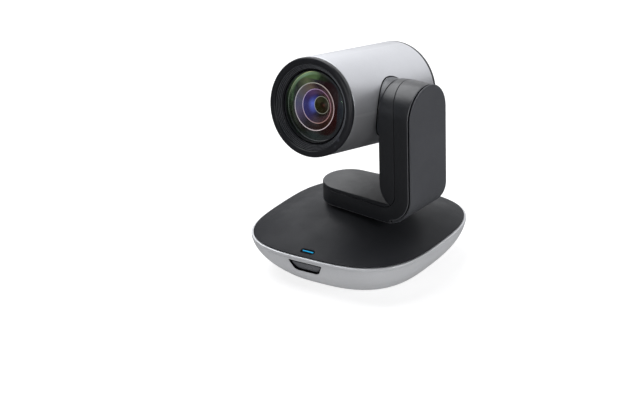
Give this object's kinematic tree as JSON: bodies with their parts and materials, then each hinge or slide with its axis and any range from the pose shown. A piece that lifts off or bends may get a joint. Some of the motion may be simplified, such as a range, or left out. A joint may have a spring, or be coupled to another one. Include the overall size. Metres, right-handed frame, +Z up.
{
  "type": "ptz camera",
  "caption": "Pan-tilt-zoom conference camera: domed base, turning L-shaped arm and a tilting cylindrical barrel with a zoom lens.",
  "frame": {"origin": "centre of the base's footprint, on the surface that the feet stand on", "axes": "+Z up, the lens looks towards -Y, the arm's upright stands on the +X side"},
  "size_m": [0.127, 0.13, 0.1546],
  "materials": {
    "silver_casing": "satin silver",
    "black_casing": "satin charcoal",
    "side_cover_grey": "fine matt charcoal",
    "lens_black": "matt black",
    "lens_glass": "coated optical glass",
    "ir_window_plastic": "dark infrared-pass plastic",
    "status_light": "lit light pipe",
    "rubber_foot": "matt",
    "steel": "plain",
    "brass": "machined",
    "nylon": "moulded",
    "circuit_board": "solder mask",
    "flex_cable": "polyimide film"
  },
  "bodies": {
    "base": {"base_shell": "silver_casing", "base_top_cover": "black_casing", "bottom_plate": "black_casing", "foot_pad_1": "rubber_foot", "foot_pad_2": "rubber_foot", "foot_pad_3": "rubber_foot", "foot_pad_4": "rubber_foot", "base_screw_1": "steel", "base_screw_2": "steel", "base_screw_3": "steel", "base_screw_4": "steel", "tripod_insert": "brass", "chassis_plate": "steel", "pan_bush": "nylon", "pan_motor_body": "steel", "main_board": "circuit_board", "heat_sink": "steel", "rear_io_panel": "black_casing", "usb_socket": "steel", "power_jack": "lens_black", "ir_window": "ir_window_plastic", "ir_receiver": "lens_black", "status_light_pipe": "status_light", "status_led": "circuit_board"},
    "pan_drive": {"pan_pinion": "brass"},
    "arm": {"pan_gear": "nylon", "pan_shaft": "steel", "pan_retainer_ring": "steel", "arm_inner_shell": "black_casing", "arm_outer_shell": "black_casing", "arm_side_cover": "side_cover_grey", "arm_frame": "steel", "arm_screw_1": "steel", "arm_screw_2": "steel", "tilt_bush": "nylon", "tilt_motor_body": "steel", "arm_flex_cable": "flex_cable"},
    "tilt_drive": {"tilt_pinion": "brass"},
    "head": {"tilt_gear": "nylon", "barrel_shell": "silver_casing", "front_bezel": "lens_black", "rear_cap": "black_casing", "tilt_hub": "black_casing", "tilt_shaft": "steel", "front_lens": "lens_glass", "lens_housing": "lens_black", "aperture_baffle": "lens_black", "second_lens": "lens_glass", "iris_ring": "lens_black", "guide_rod_1": "steel", "guide_rod_2": "steel", "zoom_motor_yoke": "steel", "focus_motor_yoke": "steel", "image_sensor": "lens_black", "sensor_board": "circuit_board"},
    "zoom_group": {"zoom_carrier": "lens_black", "zoom_lens": "lens_glass"},
    "focus_group": {"focus_carrier": "lens_black", "focus_lens": "lens_glass"}
  },
  "joints": [
    {"name": "pan", "type": "hinge", "parent": "base", "child": "arm", "pos_m": [0, 0, 0.0422], "axis": [0, 0, 1], "range_deg": [-126, 134]},
    {"name": "pan_motor_spin", "type": "hinge", "parent": "base", "child": "pan_drive", "pos_m": [0, -0.03, 0.0227], "axis": [0, 0, 1], "range_deg": [-410, 390]},
    {"name": "tilt", "type": "hinge", "parent": "arm", "child": "head", "pos_m": [0, 0, 0.114], "axis": [0.9976, -0.0698, 0], "range_deg": [-29, 101]},
    {"name": "tilt_motor_spin", "type": "hinge", "parent": "arm", "child": "tilt_drive", "pos_m": [0, 0, 0.09275], "axis": [0.9976, -0.0698, 0], "range_deg": [-250, 80]},
    {"name": "zoom_slide", "type": "slide", "parent": "head", "child": "zoom_group", "axis": [0.0685, 0.9792, -0.1908], "range_m": [0, 0.014]},
    {"name": "focus_slide", "type": "slide", "parent": "head", "child": "focus_group", "axis": [0.0685, 0.9792, -0.1908], "range_m": [0, 0.006]}
  ],
  "couplings": [
    {"joint": "pan_motor_spin", "follows": "pan", "ratio": -3},
    {"joint": "tilt_motor_spin", "follows": "tilt", "ratio": -2.4}
  ]
}
